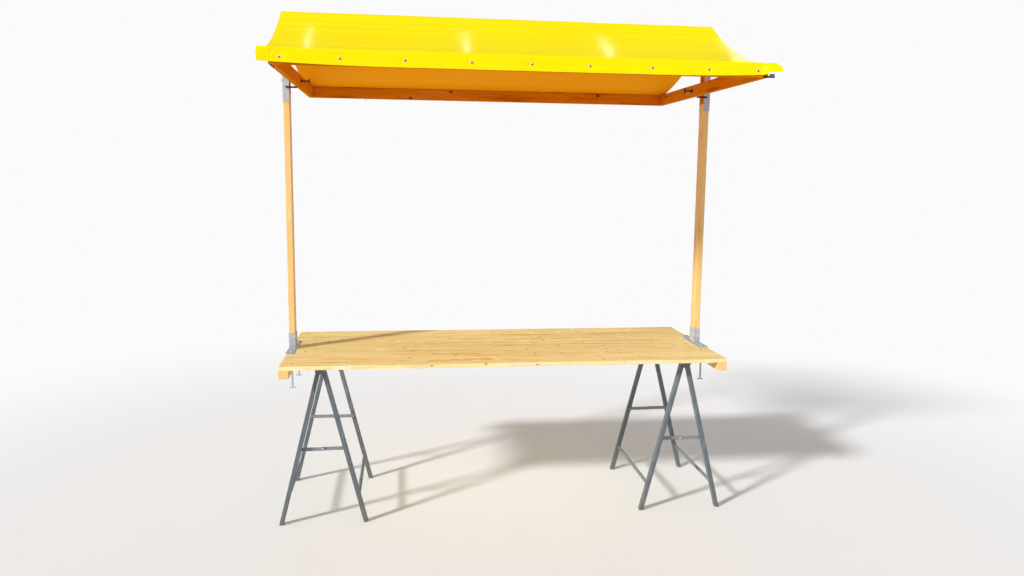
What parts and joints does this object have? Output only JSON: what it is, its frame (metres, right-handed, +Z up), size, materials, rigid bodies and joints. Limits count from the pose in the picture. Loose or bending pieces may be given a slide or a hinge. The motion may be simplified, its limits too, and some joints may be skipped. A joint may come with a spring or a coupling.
{
  "type": "wooden market stall",
  "caption": "Small market stall: a wooden tabletop on folding steel trestles, with timber posts that carry a ridged cloth canopy.",
  "frame": {"origin": "on the ground, in the middle of the stall's outline seen from above", "axes": "+X to the right seen from the front, +Y from the front towards the back, +Z up"},
  "size_m": [2.054, 1.3256, 2.2833],
  "materials": {
    "pine_panel": "sealed pine boards",
    "post_timber": "planed pine",
    "roof_timber": "planed pine, darker",
    "canopy_cloth": "glossy coated cloth",
    "galvanised": "galvanised",
    "trestle_paint": "blue grey paint, worn",
    "stay_steel": "blue grey paint, rubbed at the rivets"
  },
  "bodies": {
    "stall": {"back_rail": "roof_timber", "canopy": "canopy_cloth", "front_rail": "roof_timber", "left_arm": "roof_timber", "left_arm_bolt": "galvanised", "left_battens": "pine_panel", "left_clamp_bar": "galvanised", "left_clamp_screws": "galvanised", "left_foot_socket": "galvanised", "left_outer_front_leg": "trestle_paint", "left_outer_rail": "trestle_paint", "left_outer_rear_leg": "trestle_paint", "left_outer_stretcher": "trestle_paint", "left_post": "post_timber", "left_rest_pin": "galvanised", "left_strut": "roof_timber", "left_top_channel": "galvanised", "ridge_beam": "roof_timber", "right_arm": "roof_timber", "right_arm_bolt": "galvanised", "right_battens": "pine_panel", "right_clamp_bar": "galvanised", "right_clamp_screws": "galvanised", "right_foot_socket": "galvanised", "right_outer_front_leg": "trestle_paint", "right_outer_rail": "trestle_paint", "right_outer_rear_leg": "trestle_paint", "right_outer_stretcher": "trestle_paint", "right_post": "post_timber", "right_rest_pin": "galvanised", "right_strut": "roof_timber", "right_top_channel": "galvanised", "tabletop": "pine_panel"},
    "left_inner_half": {"left_inner_front_leg": "trestle_paint", "left_inner_rear_leg": "trestle_paint", "left_inner_rail": "trestle_paint", "left_inner_stretcher": "trestle_paint"},
    "left_outer_links": {"left_outer_stays": "stay_steel"},
    "left_inner_links": {"left_inner_stays": "stay_steel"},
    "right_inner_half": {"right_inner_front_leg": "trestle_paint", "right_inner_rear_leg": "trestle_paint", "right_inner_rail": "trestle_paint", "right_inner_stretcher": "trestle_paint"},
    "right_outer_links": {"right_outer_stays": "stay_steel"},
    "right_inner_links": {"right_inner_stays": "stay_steel"}
  },
  "joints": [
    {"name": "left_fold", "type": "hinge", "parent": "stall", "child": "left_inner_half", "pos_m": [-0.83, 0.1035, 0.702], "axis": [0, 1, 0], "range_deg": [0, 25]},
    {"name": "left_outer_link_fold", "type": "hinge", "parent": "stall", "child": "left_outer_links", "pos_m": [-0.93248, 0.1035, 0.34], "axis": [0, -1, 0], "range_deg": [0, 66.27]},
    {"name": "left_inner_link_fold", "type": "hinge", "parent": "left_inner_half", "child": "left_inner_links", "pos_m": [-0.72752, 0.1035, 0.34], "axis": [0, 1, 0], "range_deg": [0, 66.27]},
    {"name": "right_fold", "type": "hinge", "parent": "stall", "child": "right_inner_half", "pos_m": [0.83, 0.1035, 0.702], "axis": [0, -1, 0], "range_deg": [0, 25]},
    {"name": "right_outer_link_fold", "type": "hinge", "parent": "stall", "child": "right_outer_links", "pos_m": [0.93248, 0.1035, 0.34], "axis": [0, 1, 0], "range_deg": [0, 66.27]},
    {"name": "right_inner_link_fold", "type": "hinge", "parent": "right_inner_half", "child": "right_inner_links", "pos_m": [0.72752, 0.1035, 0.34], "axis": [0, -1, 0], "range_deg": [0, 66.27]}
  ],
  "couplings": [
    {"joint": "left_outer_link_fold", "follows": "left_fold", "ratio": 2.6109},
    {"joint": "left_inner_link_fold", "follows": "left_fold", "ratio": 2.6109},
    {"joint": "right_outer_link_fold", "follows": "right_fold", "ratio": 2.6109},
    {"joint": "right_inner_link_fold", "follows": "right_fold", "ratio": 2.6109}
  ]
}
